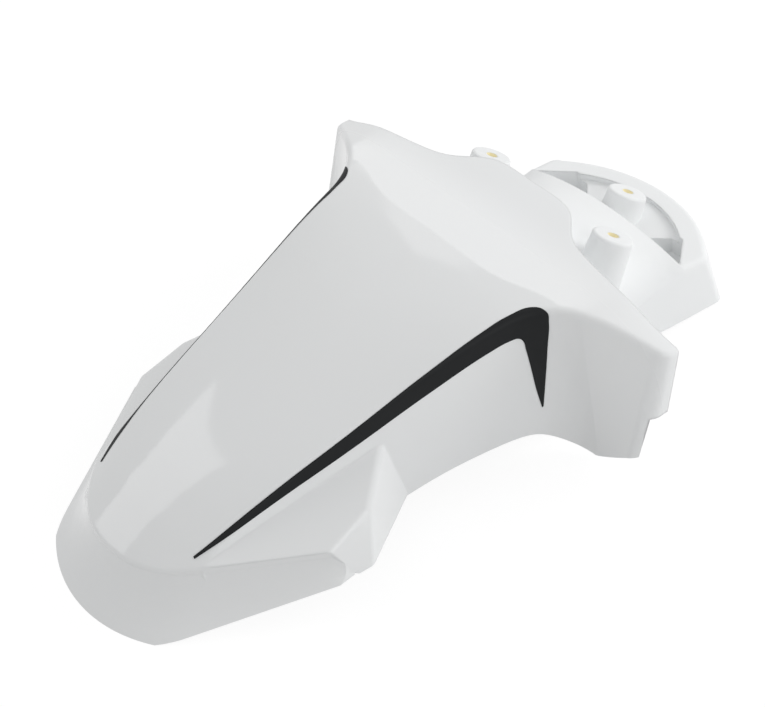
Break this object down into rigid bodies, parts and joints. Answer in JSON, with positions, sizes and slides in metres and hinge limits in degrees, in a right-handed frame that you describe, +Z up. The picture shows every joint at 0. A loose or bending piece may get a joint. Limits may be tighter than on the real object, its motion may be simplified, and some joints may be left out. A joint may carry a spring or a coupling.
{
  "type": "motorcycle front mudguard",
  "caption": "White gloss moulded motorcycle front mudguard with swept wings, a flared nose brim, raised fixing bosses at the rear and a black tapered stripe on each shoulder.",
  "frame": {"origin": "midway between the two front fixing holes, on the tops of their bosses", "axes": "+X forward on the vehicle, +Y to its left, +Z up"},
  "size_m": [0.4519, 0.3048, 0.1021],
  "materials": {
    "white_gloss_plastic": "gloss",
    "black_film": "satin"
  },
  "bodies": {
    "root": {"mudguard": "white_gloss_plastic", "left_stripe": "black_film", "right_stripe": "black_film"}
  },
  "joints": []
}
